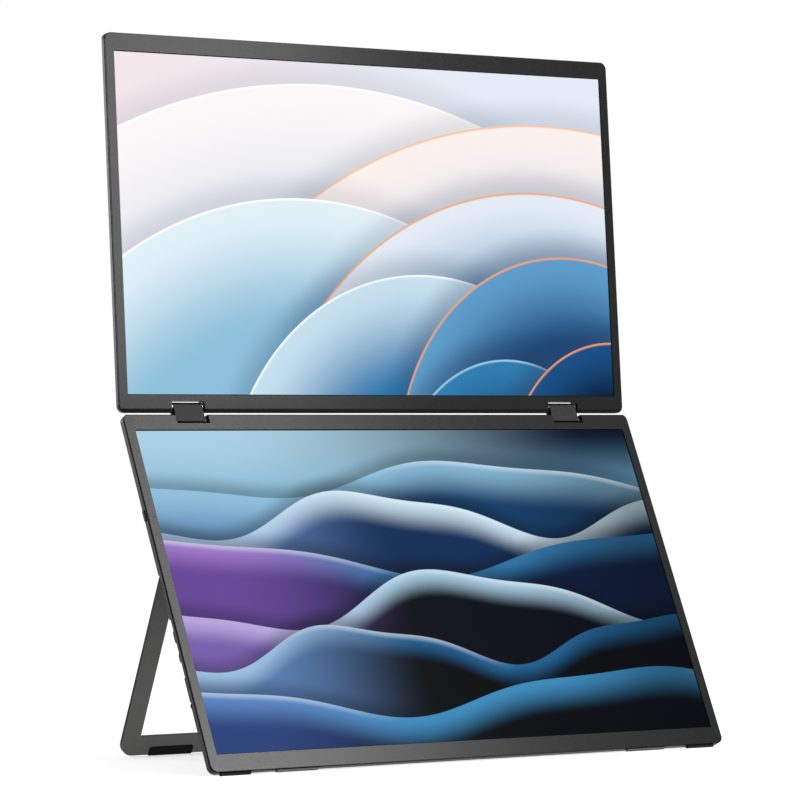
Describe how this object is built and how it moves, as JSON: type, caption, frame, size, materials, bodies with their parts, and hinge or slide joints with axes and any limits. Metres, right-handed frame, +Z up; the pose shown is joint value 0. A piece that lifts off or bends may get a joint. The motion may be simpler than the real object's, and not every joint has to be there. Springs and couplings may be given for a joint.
{
  "type": "dual portable monitor",
  "caption": "Flat portable displays stacked on a pair of two-axis hinges, standing on a fold-out U-shaped kickstand, with edge sockets.",
  "frame": {"origin": "on the table under the middle of the outline", "axes": "+X to the viewer's right along both screens, +Y away from the viewer, +Z up"},
  "size_m": [0.4252, 0.169, 0.4883],
  "materials": {
    "cover_plastic": "fine spark-eroded grain, satin",
    "bezel_plastic": "fine matte grain",
    "upper_screen": "anti-glare polariser with a lit picture, emissive",
    "lower_screen": "anti-glare polariser with a lit picture, emissive",
    "white_film": "satin film",
    "clear_acrylic": "polished",
    "circuit_board": "solder mask",
    "pressed_steel": "zinc plated",
    "steel_fasteners": "black zinc",
    "socket_metal": "nickel plated",
    "brass": "machined",
    "cable_film": "film",
    "black_plastic": "moulded",
    "grille_plastic": "moulded",
    "rubber": "moulded matte",
    "hinge_metal": "die-cast, satin grey paint",
    "kickstand_metal": "sheet with satin grey powder coat"
  },
  "bodies": {
    "lower_display": {"lower_rear_cover": "cover_plastic", "lower_bezel": "bezel_plastic", "lower_lcd_glass": "lower_screen", "lower_diffuser_sheets": "white_film", "lower_light_guide": "clear_acrylic", "lower_led_strip": "circuit_board", "lower_panel_tray": "pressed_steel", "lower_panel_board": "circuit_board", "lower_cover_screws": "steel_fasteners", "lower_hinge_leaf_left": "pressed_steel", "lower_hinge_leaf_right": "pressed_steel", "lower_hinge_pins": "steel_fasteners", "usb_c_sockets": "socket_metal", "mini_hdmi_sockets": "socket_metal", "socket_inserts": "black_plastic", "audio_jack": "socket_metal", "port_board": "circuit_board", "main_board": "circuit_board", "main_board_chips": "black_plastic", "board_cable": "cable_film", "lower_panel_cable": "cable_film", "speaker_left": "black_plastic", "speaker_right": "black_plastic", "speaker_grilles": "grille_plastic", "vesa_inserts": "brass", "power_switch": "circuit_board", "menu_board": "circuit_board", "menu_rocker_pin": "steel_fasteners", "kickstand_hinge_left": "pressed_steel", "kickstand_hinge_right": "pressed_steel", "kickstand_pins": "steel_fasteners", "kickstand_screws": "steel_fasteners", "lower_feet": "rubber"},
    "hinge_links": {"hinge_block_left": "hinge_metal", "hinge_block_right": "hinge_metal", "hinge_washers": "steel_fasteners"},
    "upper_display": {"upper_rear_cover": "cover_plastic", "upper_bezel": "bezel_plastic", "upper_lcd_glass": "upper_screen", "upper_diffuser_sheets": "white_film", "upper_light_guide": "clear_acrylic", "upper_led_strip": "circuit_board", "upper_panel_tray": "pressed_steel", "upper_panel_board": "circuit_board", "upper_cover_screws": "steel_fasteners", "upper_hinge_leaf_left": "pressed_steel", "upper_hinge_leaf_right": "pressed_steel", "upper_hinge_pins": "steel_fasteners"},
    "kickstand": {"kickstand_frame": "kickstand_metal", "kickstand_pads": "rubber"},
    "power_button": {"power_button": "black_plastic"},
    "menu_rocker": {"menu_rocker": "black_plastic"}
  },
  "joints": [
    {"name": "lower_hinge", "type": "hinge", "parent": "lower_display", "child": "hinge_links", "pos_m": [0, 0.02916, 0.22801], "axis": [1, 0, 0], "range_deg": [-45, 90]},
    {"name": "upper_hinge", "type": "hinge", "parent": "hinge_links", "child": "upper_display", "pos_m": [0, 0.03374, 0.23752], "axis": [1, 0, 0], "range_deg": [-111.2, 68.8]},
    {"name": "kickstand_hinge", "type": "hinge", "parent": "lower_display", "child": "kickstand", "pos_m": [0, 0.00664, 0.17338], "axis": [1, 0, 0], "range_deg": [-49.5, 5]},
    {"name": "power_button_press", "type": "slide", "parent": "lower_display", "child": "power_button", "axis": [1, 0, 0], "range_m": [0, 0.0007], "stiffness_N_per_m": 1500},
    {"name": "menu_rocker_tilt", "type": "hinge", "parent": "lower_display", "child": "menu_rocker", "pos_m": [0.2096, -0.00188, 0.16582], "axis": [0, 0.9011, -0.4337], "range_deg": [-3.5, 3.5], "stiffness_Nm_per_rad": 0.15}
  ]
}
